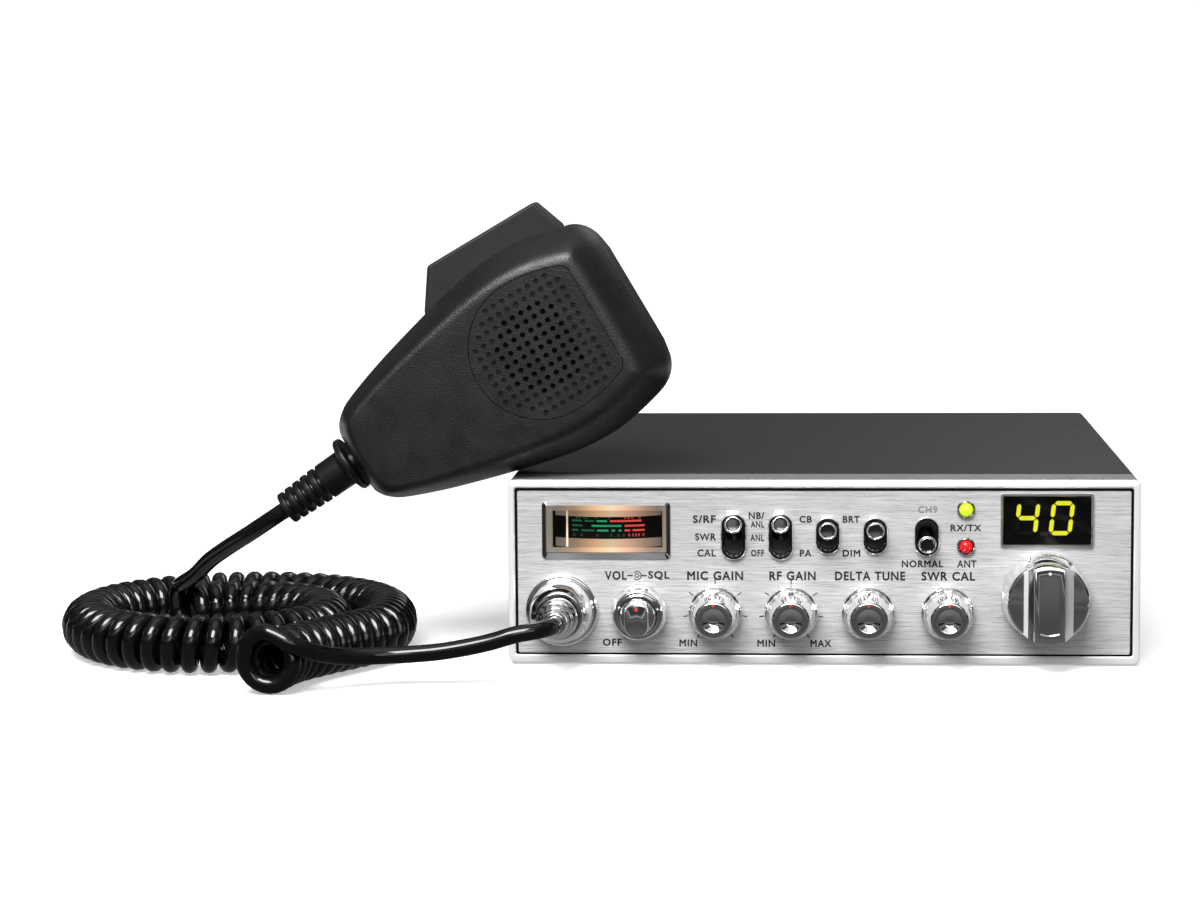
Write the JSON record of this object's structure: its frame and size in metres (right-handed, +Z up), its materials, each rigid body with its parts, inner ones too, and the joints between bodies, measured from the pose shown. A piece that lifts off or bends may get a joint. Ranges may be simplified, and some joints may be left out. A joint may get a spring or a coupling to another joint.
{
  "type": "mobile transceiver",
  "caption": "Vehicle two-way radio with brushed front, knobs, toggle switches, lit meter and channel display, and a hand microphone on a curly cord.",
  "frame": {"origin": "middle of the radio's footprint, on the surface that it stands on", "axes": "+Z up, controls face -Y, +X to the right seen from the front"},
  "size_m": [0.3259, 0.2679, 0.1368],
  "materials": {
    "black_painted_steel": "satin black paint",
    "bezel_chrome": "polished chrome plating",
    "panel_aluminium": "brushed along its length",
    "knob_chrome": "polished chrome plating",
    "plug_chrome": "polished chrome plating",
    "switch_lever_chrome": "polished chrome plating",
    "zinc_steel": "zinc plated",
    "black_plastic": "fine moulded grain",
    "mic_plastic": "fine leather-like moulded grain",
    "cord_rubber": "glossy flexible jacket",
    "heat_sink_black": "black anodised",
    "circuit_board": "green solder mask",
    "speaker_paper": "pressed paper",
    "meter_case_plastic": "warm translucent plastic",
    "meter_dial_paint": "printed",
    "clear_window": "clear",
    "smoked_window": "smoked and glossy",
    "needle_paint": "painted",
    "green_lens": "translucent",
    "red_lens": "translucent"
  },
  "bodies": {
    "root": {"antenna_led": "red_lens", "antenna_socket": "plug_chrome", "bottom_cover": "black_painted_steel", "channel_display": "black_plastic", "channel_nine_switch_bezel": "black_plastic", "channel_selector_switch": "zinc_steel", "chassis_frame": "zinc_steel", "cord_coil": "cord_rubber", "cord_mic_lead": "cord_rubber", "cord_plug_lead": "cord_rubber", "delta_tune_pot": "zinc_steel", "dimmer_switch_bezel": "black_plastic", "display_window": "smoked_window", "external_speaker_jack": "zinc_steel", "front_bezel": "bezel_chrome", "front_panel": "panel_aluminium", "heat_sink": "heat_sink_black", "main_circuit_board": "circuit_board", "meter_bezel": "bezel_chrome", "meter_case": "meter_case_plastic", "meter_dial": "meter_dial_paint", "meter_switch_bezel": "black_plastic", "meter_window": "clear_window", "mic_gain_pot": "zinc_steel", "mic_socket": "plug_chrome", "noise_switch_bezel": "black_plastic", "pa_speaker_jack": "zinc_steel", "pa_switch_bezel": "black_plastic", "plug_shell": "plug_chrome", "power_inlet": "black_plastic", "rf_gain_pot": "zinc_steel", "rx_tx_led": "green_lens", "speaker_basket": "zinc_steel", "speaker_cone": "speaker_paper", "swr_cal_pot": "zinc_steel", "toggle_switch_block": "black_plastic", "top_cover": "black_painted_steel", "volume_squelch_pot": "zinc_steel"},
    "volume": {"volume_knob": "knob_chrome"},
    "squelch": {"squelch_knob": "knob_chrome"},
    "mic_gain": {"mic_gain_knob": "knob_chrome"},
    "rf_gain": {"rf_gain_knob": "knob_chrome"},
    "delta_tune": {"delta_tune_knob": "knob_chrome"},
    "swr_cal": {"swr_cal_knob": "knob_chrome"},
    "channel": {"channel_knob": "knob_chrome"},
    "meter_switch": {"meter_switch_lever": "switch_lever_chrome"},
    "noise_switch": {"noise_switch_lever": "switch_lever_chrome"},
    "pa_switch": {"pa_switch_lever": "switch_lever_chrome"},
    "dimmer_switch": {"dimmer_switch_lever": "switch_lever_chrome"},
    "channel_nine_switch": {"channel_nine_switch_lever": "switch_lever_chrome"},
    "needle": {"meter_needle": "needle_paint"},
    "coupling_ring": {"plug_coupling_ring": "plug_chrome"},
    "microphone": {"mic_front_shell": "mic_plastic", "mic_rear_shell": "mic_plastic", "mic_cartridge": "zinc_steel", "mic_key_switch": "black_plastic", "mic_hang_button": "zinc_steel", "ptt_pivot_pin": "zinc_steel", "mic_cord_boot": "cord_rubber"},
    "ptt_key": {"mic_ptt_key": "mic_plastic"}
  },
  "joints": [
    {"name": "volume_turn", "type": "hinge", "parent": "root", "child": "volume", "pos_m": [-0.0542, -0.0992, 0.016], "axis": [0, 1, 0], "range_deg": [-150, 150]},
    {"name": "squelch_turn", "type": "hinge", "parent": "root", "child": "squelch", "pos_m": [-0.0542, -0.0992, 0.016], "axis": [0, 1, 0], "range_deg": [-150, 150]},
    {"name": "mic_gain_turn", "type": "hinge", "parent": "root", "child": "mic_gain", "pos_m": [-0.0317, -0.0992, 0.016], "axis": [0, 1, 0], "range_deg": [-150, 150]},
    {"name": "rf_gain_turn", "type": "hinge", "parent": "root", "child": "rf_gain", "pos_m": [-0.0092, -0.0992, 0.016], "axis": [0, 1, 0], "range_deg": [-150, 150]},
    {"name": "delta_tune_turn", "type": "hinge", "parent": "root", "child": "delta_tune", "pos_m": [0.0135, -0.0992, 0.016], "axis": [0, 1, 0], "range_deg": [-150, 150]},
    {"name": "swr_cal_turn", "type": "hinge", "parent": "root", "child": "swr_cal", "pos_m": [0.0368, -0.0992, 0.016], "axis": [0, 1, 0], "range_deg": [-150, 150]},
    {"name": "channel_turn", "type": "hinge", "parent": "root", "child": "channel", "pos_m": [0.0655, -0.0992, 0.0209], "axis": [0, 1, 0], "continuous": true},
    {"name": "meter_switch_flip", "type": "hinge", "parent": "root", "child": "meter_switch", "pos_m": [-0.0262, -0.0922, 0.0384], "axis": [1, 0, 0], "range_deg": [0, 36]},
    {"name": "noise_switch_flip", "type": "hinge", "parent": "root", "child": "noise_switch", "pos_m": [-0.0123, -0.0922, 0.0384], "axis": [1, 0, 0], "range_deg": [0, 36]},
    {"name": "pa_switch_flip", "type": "hinge", "parent": "root", "child": "pa_switch", "pos_m": [0.0016, -0.0922, 0.0387], "axis": [1, 0, 0], "range_deg": [0, 18]},
    {"name": "dimmer_switch_flip", "type": "hinge", "parent": "root", "child": "dimmer_switch", "pos_m": [0.0156, -0.0922, 0.0387], "axis": [1, 0, 0], "range_deg": [0, 18]},
    {"name": "channel_nine_switch_flip", "type": "hinge", "parent": "root", "child": "channel_nine_switch", "pos_m": [0.0307, -0.0922, 0.0385], "axis": [1, 0, 0], "range_deg": [-14, 0]},
    {"name": "needle_swing", "type": "hinge", "parent": "root", "child": "needle", "pos_m": [-0.064, -0.0637, 0.04015], "axis": [0, 0, 1], "range_deg": [0, 48], "stiffness_Nm_per_rad": 0.00005, "springref_deg": -5.73},
    {"name": "coupling_ring_turn", "type": "hinge", "parent": "root", "child": "coupling_ring", "pos_m": [-0.0773, -0.0992, 0.0163], "axis": [0, 1, 0], "continuous": true},
    {"name": "microphone_lift", "type": "slide", "parent": "root", "child": "microphone", "axis": [0, 0, 1], "range_m": [0, 0.06]},
    {"name": "ptt_press", "type": "hinge", "parent": "microphone", "child": "ptt_key", "pos_m": [-0.11469, -0.0773, 0.1017], "axis": [0, 1, 0], "range_deg": [0, 3.5], "stiffness_Nm_per_rad": 0.3, "springref_deg": -5.73}
  ]
}
